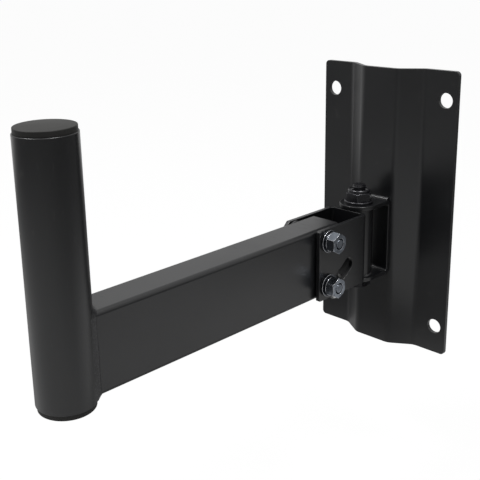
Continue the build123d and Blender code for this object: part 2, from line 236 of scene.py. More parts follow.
@dataclass(frozen=True)
class Patches:
    """A patchy pattern of noise, and how much it tints and roughens what it covers."""

    cells: float
    detail: float
    low: float = 0.0
    high: float = 1.0
    stretch: tuple[float, float, float] = (1, 1, 1)
    tint: float = 0.0
    rough: float = 0.0

    def cloud(self, shader: Shader) -> Value:
        """The plain noise."""
        return shader.noise(self.cells, self.detail, self.stretch)

    def spots(self, shader: Shader) -> Value:
        """Only what lies above the low level, full from the high level on."""
        return shader.ramp(self.cloud(shader), self.low, self.high)


@dataclass(frozen=True)
class PowderCoat:
    """Black powder coat with a fine orange peel, thin at the broken edges."""

    name: str = "black_powder_coat"
    colour: Colour = (0.0028, 0.0030, 0.0036)
    thin_colour: Colour = (0.009, 0.0095, 0.011)
    dust_colour: Colour = (0.022, 0.0215, 0.020)
    roughness: float = 0.29
    wear: Patches = Patches(160, 4, 0.42, 0.62, tint=0.75, rough=0.10)
    haze: Patches = Patches(22, 5, 0.35, 0.7, rough=0.05)
    dust: Patches = Patches(2600, 2, 0.70, 0.78, tint=0.5)
    scuffs: Patches = Patches(90, 6, 0.62, 0.78, (1, 6, 1), tint=0.22, rough=0.12)
    peel_size: float = 1.3 * MM
    fine_peel: float = 3.1
    fine_share: float = 0.35
    peel_strength: float = 0.4
    peel_height: float = 0.036 * MM

    def make(self) -> bpy.types.Material:
        """Build the coat's material.

        Returns:
            The material.
        """
        material = bpy.data.materials.new(self.name)
        shader = Shader(material)
        edge = shader.layer(EDGE_LAYER) * self.wear.spots(shader)
        haze, dust, scuffs = (patches.spots(shader) for patches in (self.haze, self.dust, self.scuffs))
        base = shader.mix(edge * self.wear.tint, self.colour, self.thin_colour)
        dusty = shader.larger(dust * self.dust.tint, scuffs * self.scuffs.tint)
        fine_peel = shader.noise(self.fine_peel / self.peel_size, 1)
        peel = shader.noise(1 / self.peel_size, 2) + self.fine_share * fine_peel
        roughness = self.roughness + self.haze.rough * haze + self.scuffs.rough * scuffs
        shader.surface(
            Base_Color=shader.mix(dusty, base, self.dust_colour),
            Roughness=roughness + self.wear.rough * edge,
            IOR=1.5,
            Normal=shader.bump(peel, self.peel_strength, self.peel_height),
        )
        return material


@dataclass(frozen=True)
class WeldCoat:
    """The same coat over weld metal, lumpy and pitted."""

    name: str = "coated_weld"
    colour: Colour = (0.007, 0.0072, 0.008)
    crest_colour: Colour = (0.026, 0.027, 0.029)
    roughness: float = 0.36
    lumps: Patches = Patches(420, 5, 0.55, 0.75, tint=0.5)
    pits: Patches = Patches(1500, 3, 0.66, 0.74, rough=0.12)
    pit_depth: float = 0.5
    relief: float = 0.5
    relief_height: float = 0.25 * MM

    def make(self) -> bpy.types.Material:
        """Build the weld's material.

        Returns:
            The material.
        """
        material = bpy.data.materials.new(self.name)
        shader = Shader(material)
        lumps, pits = self.lumps.cloud(shader), self.pits.spots(shader)
        crests = shader.ramp(lumps, self.lumps.low, self.lumps.high)
        shader.surface(
            Base_Color=shader.mix(crests * self.lumps.tint, self.colour, self.crest_colour),
            Roughness=self.roughness + self.pits.rough * pits,
            IOR=1.5,
            Normal=shader.bump(lumps - self.pit_depth * pits, self.relief, self.relief_height),
        )
        return material


@dataclass(frozen=True)
class MouldedPlastic:
    """Matt black plastic with a fine spark-eroded grain."""

    name: str = "moulded_black_plastic"
    colour: Colour = (0.0095, 0.0093, 0.0086)
    worn_colour: Colour = (0.028, 0.0275, 0.0255)
    roughness: float = 0.48
    shine: float = 0.2
    haze: Patches = Patches(70, 5, tint=0.2, rough=0.14)
    rubs: Patches = Patches(130, 6, 0.6, 0.8, (5, 1, 1), tint=0.4, rough=-0.08)
    grain: float = 0.28 * MM
    grain_strength: float = 0.35
    grain_height: float = 0.03 * MM

    def make(self) -> bpy.types.Material:
        """Build the plastic's material.

        Returns:
            The material.
        """
        material = bpy.data.materials.new(self.name)
        shader = Shader(material)
        haze, rubs = self.haze.cloud(shader), self.rubs.spots(shader)
        worn = rubs * self.rubs.tint + self.haze.tint * haze
        shader.surface(
            Base_Color=shader.mix(worn, self.colour, self.worn_colour),
            Roughness=self.roughness + self.haze.rough * haze + self.rubs.rough * rubs,
            IOR=1.5,
            Specular_IOR_Level=self.shine,
            Normal=shader.bump(shader.noise(1 / self.grain, 3), self.grain_strength, self.grain_height),
        )
        return material


@dataclass(frozen=True)
class TurnedNylon:
    """Dark nylon with faint turning marks."""

    name: str = "turned_nylon"
    colour: Colour = (0.05, 0.05, 0.052)
    rim_colour: Colour = (0.11, 0.11, 0.112)
    roughness: float = 0.42
    haze: Patches = Patches(260, 4, 0.4, 0.75, rough=0.15)
    marks: Patches = Patches(2400, 2)
    marks_strength: float = 0.25
    marks_height: float = 0.02 * MM
    soak: float = 0.05

    def make(self) -> bpy.types.Material:
        """Build the nylon's material.

        Returns:
            The material.
        """
        material = bpy.data.materials.new(self.name)
        shader = Shader(material)
        haze = self.haze.cloud(shader)
        pale = shader.ramp(haze, self.haze.low, self.haze.high)
        shader.surface(
            Base_Color=shader.mix(pale, self.colour, self.rim_colour),
            Roughness=self.roughness + self.haze.rough * haze,
            Subsurface_Weight=self.soak,
            Subsurface_Radius=(1 * MM, 1 * MM, 1 * MM),
            Normal=shader.bump(self.marks.cloud(shader), self.marks_strength, self.marks_height),
        )
        return material


@dataclass(frozen=True)
class PlatedSteel:
    """Plated or oiled steel with cloudy patches, pin specks, fine tool marks and a painted glint on its
    polished broken edges.
    """

    name: str
    colour: Colour
    stain_colour: Colour
    roughness: float
    metallic: float = 1.0
    # Colour of the broken edges: partly polished wear, partly a painted glint
    worn_edge_and_glint_colour: Colour = (0.72, 0.73, 0.76)
    stains: Patches = Patches(310, 5, 0.32, 0.72, tint=0.7, rough=0.16)
    specks: Patches = Patches(3300, 2, 0.62, 0.74, tint=0.3, rough=0.1)
    tool_marks: Patches = Patches(1900, 3, stretch=(1, 0.25, 1.6))
    edge_share: float = 0.8
    edge_polish: float = 0.06
    stain_relief: float = 0.4
    relief: float = 0.35
    relief_height: float = 0.03 * MM

    def make(self) -> bpy.types.Material:
        """Build the steel's material.

        Returns:
            The material.
        """
        material = bpy.data.materials.new(self.name)
        shader = Shader(material)
        stains, specks = self.stains.spots(shader), self.specks.spots(shader)
        edge = shader.layer(EDGE_LAYER)
        dull = stains * self.stains.tint + self.specks.tint * specks
        base = shader.mix(dull, self.colour, self.stain_colour)
        roughness = self.roughness + self.stains.rough * stains + self.specks.rough * specks
        relief = self.tool_marks.cloud(shader) + self.stain_relief * stains
        shader.surface(
            # Painted glint: the broken edges are mixed towards a brighter colour, partly as polished wear
            Base_Color=shader.mix(edge * self.edge_share, base, self.worn_edge_and_glint_colour),
            Metallic=self.metallic,
            Roughness=roughness - self.edge_polish * edge,
            Normal=shader.bump(relief, self.relief, self.relief_height),
        )
        return material


class FinishSet:
    """Every finish on the bracket, made once."""

    def __init__(self) -> None:
        """Make the materials."""
        self.paint = PowderCoat().make()
        self.weld = WeldCoat().make()
        self.plastic = MouldedPlastic().make()
        self.nylon = TurnedNylon().make()
        self.dark_steel = PlatedSteel(
            name="black_oxide_steel",
            colour=(0.008, 0.008, 0.010),
            stain_colour=(0.003, 0.003, 0.004),
            roughness=0.2,
            metallic=0.45,
            worn_edge_and_glint_colour=(0.035, 0.035, 0.04),
        ).make()
        self.zinc = PlatedSteel(
            name="blue_zinc_steel",
            colour=(0.20, 0.22, 0.25),
            stain_colour=(0.08, 0.088, 0.104),
            roughness=0.14,
        ).make()
        self.dull_zinc = PlatedSteel(
            name="dull_zinc_steel",
            colour=(0.06, 0.065, 0.076),
            stain_colour=(0.02, 0.022, 0.027),
            roughness=0.2,
        ).make()


# Meshes


class MeshMaker:
    """Mesh code that the sub-assemblies share."""

    flat_turn = radians(0.6)
    sharp_turn = radians(32)
    shaded_sharp = 50.0

    @staticmethod
    def to_object(name: str, mesh: bmesh.types.BMesh, sharp: float = 40.0) -> bpy.types.Object:
        """Turn mesh data into a linked, smooth-shaded object whose flat faces stay flat.

        Args:
            name: The piece's name.
            mesh: The finished mesh data, which is freed.
            sharp: Edges that turn by more than this many degrees stay sharp.

        Returns:
            The new object.
        """
        bmesh.ops.recalc_face_normals(mesh, faces=mesh.faces)
        for face in mesh.faces:
            face.smooth = True
        data = bpy.data.meshes.new(name)
        mesh.to_mesh(data)
        mesh.free()
        data.set_sharp_from_angle(angle=radians(sharp))
        piece = bpy.data.objects.new(name, data)
        bpy.context.scene.collection.objects.link(piece)
        weighted = piece.modifiers.new("flat_faces_stay_flat", "WEIGHTED_NORMAL")
        weighted.keep_sharp = True
        return piece

    @staticmethod
    def softened(name: str, node: bpy.types.Object, width: float, steps: int = 2) -> bpy.types.Object:
        """Copy a CAD node's shape with its sharp edges broken.

        Args:
            name: The new piece's name.
            node: The CAD node.
            width: How far the rounding reaches from each edge, in metres.
            steps: Facets across the rounding.

        Returns:
            The new piece, with the broken edges marked on its mesh.
        """
        mesh = bmesh.new()
        mesh.from_mesh(node.data)
        bmesh.ops.remove_doubles(mesh, verts=mesh.verts, dist=2 * MERGE)
        bmesh.ops.dissolve_limit(
            mesh, angle_limit=MeshMaker.flat_turn, verts=mesh.verts, edges=mesh.edges
        )
        folds = [edge for edge in mesh.edges if len(edge.link_faces) == 2]
        layer = mesh.faces.layers.float.new(EDGE_LAYER)
        result = bmesh.ops.bevel(
            mesh,
            geom=[edge for edge in folds if edge.calc_face_angle(0.0) > MeshMaker.sharp_turn],
            offset=width,
            offset_type="OFFSET",
            segments=steps,
            profile=0.5,
            affect="EDGES",
            clamp_overlap=True,
        )
        for face in result["faces"]:
            face[layer] = 1.0
        return MeshMaker.to_object(name, mesh, MeshMaker.shaded_sharp)

    @staticmethod
    def ring(radius: float, height: float, sides: int, corner: float | None = None) -> list[Vector]:
        """Points about Z on a circle, cut down to a hexagon where one is asked for.

        Args:
            radius: The circle's radius.
            height: Where the ring lies along Z.
            sides: Number of points.
            corner: The hexagon's reach to its corners.

        Returns:
            The points.
        """
        points = []
        for step in range(sides):
            angle = tau * step / sides
            out = radius
            if corner is not None:
                off_flat = (angle + pi / 6) % (pi / 3) - pi / 6
                out = min(radius, corner * cos(pi / 6) / cos(off_flat))
            points.append(Vector((out * cos(angle), out * sin(angle), height)))
        return points

    @staticmethod
    def grid(
        rings: Sequence[Sequence[Vector]], closed_along: bool, closed_across: bool
    ) -> bmesh.types.BMesh:
        """Skin a list of rings with four-sided faces.

        Args:
            rings: Rows of points, all of one length.
            closed_along: Whether the last row joins the first.
            closed_across: Whether each row's last point joins its first.

        Returns:
            The mesh data.
        """
        mesh = bmesh.new()
        rows = [[mesh.verts.new(point) for point in ring] for ring in rings]
        count, width = len(rows), len(rows[0])
        for row in range(count if closed_along else count - 1):
            for column in range(width if closed_across else width - 1):
                here, beyond = rows[row], rows[(row + 1) % count]
                right = (column + 1) % width
                mesh.faces.new((here[column], here[right], beyond[right], beyond[column]))
        return mesh

    @staticmethod
    def lathe(profile: Sequence[tuple[float, float]], sides: int) -> bmesh.types.BMesh:
        """Turn a profile of (radius, height) pairs about Z, closed where it meets the axis."""
        rings = [MeshMaker.ring(radius, height, sides) for radius, height in profile]
        return MeshMaker.tube(rings)

    @staticmethod
    def tube(rings: Sequence[Sequence[Vector]]) -> bmesh.types.BMesh:
        """Skin a stack of closed rings.

        Args:
            rings: The rings, in order.

        Returns:
            The mesh data, with points in one place joined.
        """
        mesh = MeshMaker.grid(rings, False, True)
        bmesh.ops.remove_doubles(mesh, verts=mesh.verts, dist=MERGE)
        return mesh

    @staticmethod
    def join(meshes: Sequence[bmesh.types.BMesh]) -> bmesh.types.BMesh:
        """Put several meshes into the first one.

        Args:
            meshes: The meshes; all but the first are freed.

        Returns:
            The first mesh, with everything in it.
        """
        whole = meshes[0]
        for mesh in meshes[1:]:
            data = bpy.data.meshes.new("joined")
            mesh.to_mesh(data)
            mesh.free()
            whole.from_mesh(data)
            bpy.data.meshes.remove(data)
        return whole


@dataclass(frozen=True)
class Shank:
    """A bolt's shank along Z with a screw thread at its tip."""

    radius: float
    pitch: float
    thread_depth: float
    thread_length: float
    sink: float
    plugged: bool
    run_out: float
    tip_rise: float
    tip_reach: float
    bare_tip: float
    sides: int
    ridge_foot: float = 0.46
    ridge_crest: float = 0.09
    ridge_grow: float = 1.25
    fade_rate: float = 2.5

    def meshes(self, seat: float, end: float) -> list[bmesh.types.BMesh]:
        """Turn the core and wind the thread's ridge round it.

        Args:
            seat: Height of the head's bearing face.
            end: Height of the shank's tip.

        Returns:
            The core and the ridge.
        """
        root, start = self.radius - self.thread_depth, end - self.thread_length
        profile = [(0, seat - self.sink)] if self.plugged else []
        profile += [(self.radius, seat - self.sink), (self.radius, start), (root, start + self.run_out)]
        profile += [(root, end - self.tip_rise), (root - self.tip_reach, end - HAIR), (0, end - HAIR)]
        return [MeshMaker.lathe(profile, self.sides), self.ridge(start, end - self.bare_tip)]

    def ridge(self, start: float, end: float) -> bmesh.types.BMesh:
        """Wind the thread's ridge, which fades at both ends.

        Args:
            start: Lowest height.
            end: Highest height.

        Returns:
            The mesh data.
        """
        turns = (end - start) / self.pitch
        height_of_ridge = self.thread_depth * self.ridge_grow
        form = ((0, -self.ridge_foot), (1, -self.ridge_crest), (1, self.ridge_crest), (0, self.ridge_foot))
        rings = []
        for step in range(ceil(turns * self.sides) + 1):
            turn = min(step / self.sides, turns)
            fade = min(1.0, self.fade_rate * turn, self.fade_rate * (turns - turn))
            height, angle = start + turn * self.pitch, tau * turn
            ring = []
            for reach, rise in form:
                out = self.radius - height_of_ridge + height_of_ridge * reach * fade
                ring.append(Vector((out * cos(angle), out * sin(angle), height + rise * self.pitch)))
            rings.append(ring)
        return MeshMaker.grid(rings, False, True)


@dataclass(frozen=True)
class HexHead:
    """A bolt's hexagon head that hangs below its seat, with turned corners and a shallow dish."""

    flats: float = 17.0 * MM
    height: float = 6.4 * MM
    chamfer: float = 0.9 * MM
    shoulder: float = 1.26 * MM
    chamfer_steps: int = 6
    dish_radius: float = 5.27 * MM
    dish_depth: float = 0.6 * MM
    dish_rim: float = 0.15 * MM
    dish_slope: float = 0.2 * MM
    sides: int = 96

    def mesh(self, seat: float) -> bmesh.types.BMesh:
        """Skin the head from rings whose radius follows the hexagon and the turned cone.

        Args:
            seat: Height of the face that the head bears with.

        Returns:
            The mesh data.
        """
        corner, bottom = self.flats / sqrt(3), seat - self.height
        floor = bottom + self.dish_depth
        levels = [(0.0, seat), (corner, seat), (corner, bottom + self.shoulder)]
        for step in range(self.chamfer_steps, -1, -1):
            share = step / self.chamfer_steps
            cone = corner - self.chamfer * sqrt(3) * (1 - share)
            levels.append((cone, bottom + self.chamfer * share))
        levels += [(self.dish_radius + self.dish_rim, bottom), (self.dish_radius, bottom + self.dish_rim)]
        levels += [(self.dish_radius - self.dish_slope, floor), (0.0, floor)]
        return MeshMaker.tube([MeshMaker.ring(out, height, self.sides, corner) for out, height in levels])


@dataclass(frozen=True)
class ButtonHead:
    """A bolt's low round head with a hexagon socket."""

    radius: float = 7.0 * MM
    underside_hole: float = 3.5 * MM
    height: float = 4.4 * MM
    rim: float = 0.8 * MM
    socket_flats: float = 5.0 * MM
    socket_depth: float = 2.6 * MM
    socket_point: float = 0.8 * MM
    mouth_bevel: float = 0.35 * MM
    mouth_depth: float = 0.3 * MM
    crown_steps: int = 12
    sides: int = 72

    def mesh(self, seat: float) -> bmesh.types.BMesh:
        """Skin the head downwards from its seat, over the crown and into the socket.

        Args:
            seat: Height of the face that the head bears with.

        Returns:
            The mesh data.
        """
        rise = self.height - self.rim
        crown = (self.radius**2 + rise**2) / (2 * rise)
        corner = self.socket_flats / sqrt(3)
        mouth = corner + self.mouth_bevel
        levels = [(self.underside_hole, 0.0), (self.radius, 0.0), (self.radius, -self.rim)]
        for step in range(1, self.crown_steps + 1):
            out = self.radius + (mouth - self.radius) * step / self.crown_steps
            levels.append((out, -(self.height - crown + sqrt(crown**2 - out**2))))
        top = levels[-1][1]
        base = top + self.socket_depth
        rings = [MeshMaker.ring(out, seat + height, self.sides) for out, height in levels]
        for height in (top + self.mouth_depth, base):
            rings.append(MeshMaker.ring(corner, seat + height, self.sides, corner))
        rings.append(MeshMaker.ring(0.0, seat + base + self.socket_point, self.sides))
        return MeshMaker.tube(rings)


@dataclass
class SubAssembly:
    """A group of pieces that ride on one body."""

    nodes: dict[str, bpy.types.Object]
    finishes: FinishSet
    body: Body
    pieces: list[bpy.types.Object] = field(default_factory=list)

    def settle(
        self, piece: bpy.types.Object, finish: bpy.types.Material, slot: Slot, replaced: str
    ) -> None:
        """Give a new piece its finish, its body and the node that it stands for.

        Args:
            piece: The new piece, in place.
            finish: Its material.
            slot: The record's slot for that material; not used.
            replaced: The CAD node that it stands for.
        """
        piece.data.materials.append(finish)
        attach(piece, self.body.value)
        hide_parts(replaced)
        self.pieces.append(piece)

    def dress(self, node: str, finish: bpy.types.Material) -> None:
        """Keep a CAD node's shape and give it its finish.

        Args:
            node: The CAD node.
            finish: Its material.
        """
        piece = self.nodes[node]
        piece.data.materials.clear()
        piece.data.materials.append(finish)
        self.pieces.append(piece)

    def soften(
        self, node: str, suffix: str, width: float, finish: bpy.types.Material, slot: Slot
    ) -> None:
        """Stand a copy, its edges broken to the given width, in for a CAD node."""
        piece = MeshMaker.softened(f"{node}_{suffix}", self.nodes[node], width)
        self.settle(piece, finish, slot, node)

    def report(self) -> None:
        """Log each piece with its body, its number of faces and its finish."""
        for piece in self.pieces:
            faces, finish = len(piece.data.polygons), piece.data.materials[0].name
            LOG.info("%s on %s: %d faces, %s", piece.name, self.body.value, faces, finish)


@dataclass
class WallPlate(SubAssembly):
    """The folded plate that is screwed to the wall."""

    edge_break: float = 0.3 * MM

    def build(self) -> None:
        """Break the sheet's edges and coat it."""
        self.soften("wall_plate", "sheet", self.edge_break, self.finishes.paint, Slot.PAINT)


@dataclass
class SwivelBracket(SubAssembly):
    """The channel on the wall plate, its welds and the swivel bolt with its nut."""

    edge_break: float = 0.4 * MM
    washer_break: float = 0.2 * MM
    nut_break: float = 0.25 * MM
    head: HexHead = HexHead()
    shank: Shank = Shank(
        radius=5.0 * MM,
        pitch=1.5 * MM,
        thread_depth=0.75 * MM,
        thread_length=9.0 * MM,
        sink=1.0 * MM,
        plugged=True,
        run_out=0.5 * MM,
        tip_rise=0.35 * MM,
        tip_reach=0.5 * MM,
        bare_tip=0.75 * MM,
        sides=48,
    )

    def build(self) -> None:
        """Make each piece and dress it."""
        self.soften("swivel_bracket", "channel", self.edge_break, self.finishes.paint, Slot.PAINT)
        self.dress("bracket_welds", self.finishes.weld)
        steel = self.finishes.dark_steel
        self.soften("swivel_washer", "ring", self.washer_break, steel, Slot.DARK_STEEL)
        self.soften("swivel_nut", "hexagon", self.nut_break, steel, Slot.DARK_STEEL)
        self.dress("swivel_nut_insert", self.finishes.nylon)
        self.bolt()

    def bolt(self) -> None:
        """Swivel bolt with its screw thread where it stands out of the nut."""
        low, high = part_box("swivel_bolt")
        centre = (low + high) / 2
        seat = low.z + self.head.height
        whole = MeshMaker.join([*self.shank.meshes(seat, high.z), self.head.mesh(seat)])
        bmesh.ops.translate(whole, verts=whole.verts, vec=Vector((centre.x, centre.y, 0)))
        piece = MeshMaker.to_object("swivel_bolt_threaded", whole)
        self.settle(piece, self.finishes.dark_steel, Slot.DARK_STEEL, "swivel_bolt")


@dataclass
class Yoke(SubAssembly):
    """The folded yoke, its barrel, welds and bushes."""

    edge_break: float = 0.45 * MM
    barrel_break: float = 0.3 * MM

    def build(self) -> None:
        """Make each piece and dress it."""
        self.soften("yoke", "sheet", self.edge_break, self.finishes.paint, Slot.PAINT)
        self.soften("swivel_barrel", "tube", self.barrel_break, self.finishes.paint, Slot.PAINT)
        self.dress("barrel_welds", self.finishes.weld)
        self.dress("swivel_bush_upper", self.finishes.nylon)
        self.dress("swivel_bush_lower", self.finishes.nylon)


@dataclass(frozen=True)
class WeldRun:
    """Weld metal laid round the arm where it meets the pole."""

    pole_radius: float
    pole_y: float
    middle_z: float
    half_width: float
    half_depth: float
    corner: float
    leg: float
    ripple_pitch: float = 2.1 * MM
    ripple_height: float = 0.16 * MM
    ripple_bow: float = 0.55
    hollow: float = 0.28
    sunk_edge: float = 0.4 * MM
    slow_wander: float = 9.3 * MM
    slow_share: float = 0.06
    quick_wander: float = 3.7 * MM
    quick_share: float = 0.04
    across: int = 9
    step: float = 0.35 * MM

    def outline(self, distance: float) -> tuple[Vector, Vector]:
        """A point on the arm's outline and the direction that points away from it.

        Args:
            distance: How far round the outline, in metres.

        Returns:
            The point in X and Z, and the unit normal, each as (x, 0, z).
        """
        flat_x, flat_z = self.half_width - self.corner, self.half_depth - self.corner
        bend = self.corner * pi / 2
        runs = [
            (2 * flat_z, Vector((self.half_width, 0, -flat_z)), 0.0),
            (2 * flat_x, Vector((flat_x, 0, self.half_depth)), pi / 2),
            (2 * flat_z, Vector((-self.half_width, 0, flat_z)), pi),
            (2 * flat_x, Vector((-flat_x, 0, -self.half_depth)), 3 * pi / 2),
        ]
        left = distance % self.length()
        for run, start, angle in runs:
            normal = Vector((cos(angle), 0, sin(angle)))
            along = Vector((-sin(angle), 0, cos(angle)))
            if left <= run:
                return start + along * left, normal
            left -= run
            if left <= bend:
                turned = angle + left / self.corner
                centre = start + along * run - normal * self.corner
                out = Vector((cos(turned), 0, sin(turned)))
                return centre + out * self.corner, out
            left -= bend
        return runs[0][1], Vector((1, 0, 0))

    def length(self) -> float:
        """Length of the arm's outline."""
        return 4 * (self.half_width + self.half_depth - 2 * self.corner) + tau * self.corner

    def on_pole(self, place: Vector) -> Vector:
        """Slide a point along Y until it lies on the pole."""
        reach = sqrt(max(self.pole_radius**2 - place.x**2, 0.0))
        return Vector((place.x, self.pole_y + reach, place.z))

    def mesh(self) -> bmesh.types.BMesh:
        """Skin the bead with crescent ripples that follow its run.

        Returns:
            The mesh data.
        """
        count = round(self.length() / self.step)
        rings = []
        for index in range(count):
            distance = index * self.length() / count
            place, out = self.outline(distance)
            place = place + Vector((0, 0, self.middle_z))
            wander = 1 + self.slow_share * sin(distance / self.slow_wander)
            wander += self.quick_share * sin(distance / self.quick_wander + 1.3)
            root = self.on_pole(place)
            on_arm = root + Vector((0, self.leg * wander, 0))
            on_pole = self.on_pole(place + out * self.leg * wander)
            outward = ((on_arm + on_pole) / 2 - root).normalized()
            control = ((on_arm + on_pole) / 2).lerp(root, self.hollow)
            ring = [on_arm - outward * self.sunk_edge]
            for column in range(self.across):
                share = column / (self.across - 1)
                off_middle = 2 * share - 1
                point = on_arm * (1 - share) ** 2 + control * 2 * share * (1 - share) + on_pole * share**2
                crescent = distance / self.ripple_pitch + self.ripple_bow * (1 - off_middle**2)
                height = self.ripple_height * (abs(cos(pi * crescent)) - 0.5) * (1 - off_middle**4)
                ring.append(point + outward * height)
            ring.append(on_pole - outward * self.sunk_edge)
            rings.append(ring)
        return MeshMaker.grid(rings, True, False)


@dataclass
class Arm(SubAssembly):
    """The arm's tube, the pole at its end, their weld and the pole's caps."""

    edge_break: float = 0.3 * MM
    pole_radius: float = 17.5 * MM
    pole_wall: float = 2.0 * MM
    pole_rim: float = 0.5 * MM
    root_radius: float = 17.7 * MM
    root_top: float = -12.0 * MM
    taper_top: float = 52.0 * MM
    weld_leg: float = 2.5 * MM
    corner: float = 3.0 * MM
    cap_radius: float = 16.75 * MM
    cap_height: float = 3.9 * MM
    cap_round: float = 0.5 * MM
    cap_crown: float = 0.6 * MM
    cap_round_turn: int = 75
    round_steps: int = 5
    crown_steps: int = 10
    cap_sides: int = 72
    pole_sides: int = 96
    plug_length: float = 13.0 * MM
    plug_step: float = 2.2 * MM
    plug_lead_in: float = 1.0 * MM
    plug_taper: float = 1.8 * MM

    def build(self) -> None:
        """Make each piece and dress it."""
        self.soften("arm_tube", "tube", self.edge_break, self.finishes.paint, Slot.PAINT)
        self.pole()
        self.weld()
        self.cap("pole_cap_top", 1)
        self.cap("pole_cap_bottom", -1)

    def pole(self) -> None:
        """Pole tube with rounded rims and a root that grows to its full size without a step."""
        low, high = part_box("pole_tube")
        radius, bore, rim = self.pole_radius, self.pole_radius - self.pole_wall, self.pole_rim
        profile = [(bore, low.z + rim)]
        profile += self.rounded(bore + rim, low.z + rim, rim, 180, 270)
        profile += self.rounded(self.root_radius - rim, low.z + rim, rim, 270, 360)
        profile += [(self.root_radius, self.root_top), (radius, self.taper_top)]
        profile += self.rounded(radius - rim, high.z - rim, rim, 0, 90)
        profile += self.rounded(bore + rim, high.z - rim, rim, 90, 180)
        profile += [(bore, low.z + rim)]
        mesh = MeshMaker.lathe(profile, self.pole_sides)
        centre = (low + high) / 2
        bmesh.ops.translate(mesh, verts=mesh.verts, vec=Vector((centre.x, centre.y, 0)))
        piece = MeshMaker.to_object("pole_tube_turned", mesh)
        self.settle(piece, self.finishes.paint, Slot.PAINT, "pole_tube")

    @staticmethod
    def rounded(
        radius: float, height: float, size: float, start: int, end: int, steps: int = 4
    ) -> list[tuple[float, float]]:
        """Points round a corner centred at a radius and a height, between two angles in degrees."""
        turns = [radians(start + (end - start) * step / steps) for step in range(steps + 1)]
        return [(radius + size * cos(turn), height + size * sin(turn)) for turn in turns]

    def weld(self) -> None:
        """Rippled bead round the arm's end."""
        low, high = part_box("arm_tube")
        pole_low, pole_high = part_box("pole_tube")
        run = WeldRun(
            pole_radius=self.root_radius,
            pole_y=(pole_low.y + pole_high.y) / 2,
            middle_z=(low.z + high.z) / 2,
            half_width=(high.x - low.x) / 2,
            half_depth=(high.z - low.z) / 2,
            corner=self.corner,
            leg=self.weld_leg,
        )
        piece = MeshMaker.to_object("arm_weld_bead", run.mesh(), 75.0)
        self.settle(piece, self.finishes.weld, Slot.PAINT, "arm_weld")

    def cap(self, node: str, side: int) -> None:
        """Domed push-in cap.

        Args:
            node: The CAD cap that it stands for.
            side: 1 for the top cap, -1 for the bottom one.
        """
        pole_low, pole_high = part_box("pole_tube")
        seat = pole_high.z if side > 0 else pole_low.z
        radius, edge = self.cap_radius, self.cap_round
        shoulder, plug = self.cap_height - self.cap_crown, radius - self.plug_step
        profile = [(0, -self.plug_length), (plug - self.plug_taper, -self.plug_length)]
        profile += [(plug, self.plug_lead_in - self.plug_length), (plug, HAIR)]
        profile.append((radius, HAIR))
        profile += self.rounded(
            radius - edge, shoulder - edge, edge, 0, self.cap_round_turn, self.round_steps
        )
        brim, height = profile[-1]
        for step in range(1, self.crown_steps + 1):
            inner = 1 - step / self.crown_steps
            profile.append((brim * inner, height + (self.cap_height - height) * (1 - inner**2)))
        mesh = MeshMaker.lathe([(out, side * rise) for out, rise in profile], self.cap_sides)
        centre = (pole_low + pole_high) / 2
        bmesh.ops.translate(mesh, verts=mesh.verts, vec=Vector((centre.x, centre.y, seat)))
        piece = MeshMaker.to_object(f"{node}_domed", mesh)
        self.settle(piece, self.finishes.plastic, Slot.PLASTIC, node)


@dataclass
class ClampSet(SubAssembly):
    """One of the two bolts that clamp the yoke to the arm, with its nut and washers."""

    name: str = "pivot"
    nut_break: float = 0.22 * MM
    washer_break: float = 0.16 * MM
    head: ButtonHead = ButtonHead()
    shank: Shank = Shank(
        radius=4.0 * MM,
        pitch=1.25 * MM,
        thread_depth=0.62 * MM,
        thread_length=13.0 * MM,
        sink=0.5 * MM,
        plugged=False,
        run_out=0.4 * MM,
        tip_rise=0.6 * MM,
        tip_reach=0.45 * MM,
        bare_tip=0.7 * MM,
        sides=40,
    )

    def build(self) -> None:
        """Make each piece and dress it."""
        self.soften(f"{self.name}_nut", "hexagon", self.nut_break, self.finishes.zinc, Slot.ZINC)
        dull = self.finishes.dull_zinc
        for part in ("spring_washer", "washer_nut_side", "washer_head_side"):
            self.soften(f"{self.name}_{part}", "ring", self.washer_break, dull, Slot.ZINC)
        self.dress(f"{self.name}_friction_washer_nut_side", self.finishes.nylon)
        self.dress(f"{self.name}_friction_washer_head_side", self.finishes.nylon)
        self.bolt()

    def bolt(self) -> None:
        """Button-head bolt along X with its thread under the nut."""
        low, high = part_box(f"{self.name}_bolt")
        centre = (low + high) / 2
        seat = low.x + self.head.height
        whole = MeshMaker.join([*self.shank.meshes(seat, high.x), self.head.mesh(seat)])
        turn = Matrix.Rotation(pi / 2, 3, "Y")
        bmesh.ops.rotate(whole, verts=whole.verts, cent=Vector(), matrix=turn)
        bmesh.ops.translate(whole, verts=whole.verts, vec=Vector((0, centre.y, centre.z)))
        piece = MeshMaker.to_object(f"{self.name}_bolt_threaded", whole)
        self.settle(piece, self.finishes.zinc, Slot.ZINC, f"{self.name}_bolt")


# Studio


@dataclass(frozen=True)
class SoftBox:
    """One large soft lamp."""

    name: str
    place: tuple[float, float, float]
    aim: tuple[float, float, float]
    width: float
    height: float
    power: float

    def make(self) -> None:
        """Hang the lamp."""
        data = bpy.data.lights.new(self.name, "AREA")
        data.shape = "RECTANGLE"
        data.size, data.size_y = self.width, self.height
        data.energy = self.power
        lamp = bpy.data.objects.new(self.name, data)
        lamp.location = self.place
        beam = Vector(self.aim) - Vector(self.place)
        lamp.rotation_euler = beam.to_track_quat("-Z", "Y").to_euler()
        bpy.context.scene.collection.objects.link(lamp)


@dataclass(frozen=True)
class LightPool:
    """A round bright patch of the glow card that fades outwards."""

    centre: tuple[float, float]
    inner: float
    outer: float

    def share(self, shader: Shader, place: bpy.types.NodeSocket) -> Value:
        """How much of the pool's light a place on the card has.

        Args:
            shader: The card's tree.
            place: The place on the card.

        Returns:
            1 inside the inner radius, 0 beyond the outer one.
        """
        settings = {"operation": "DISTANCE"}
        away = shader.node("ShaderNodeVectorMath", settings, in0=place, in1=(*self.centre, 0.0))
        return 1.0 - shader.ramp(shader.value(away, "Value"), self.inner, self.outer)


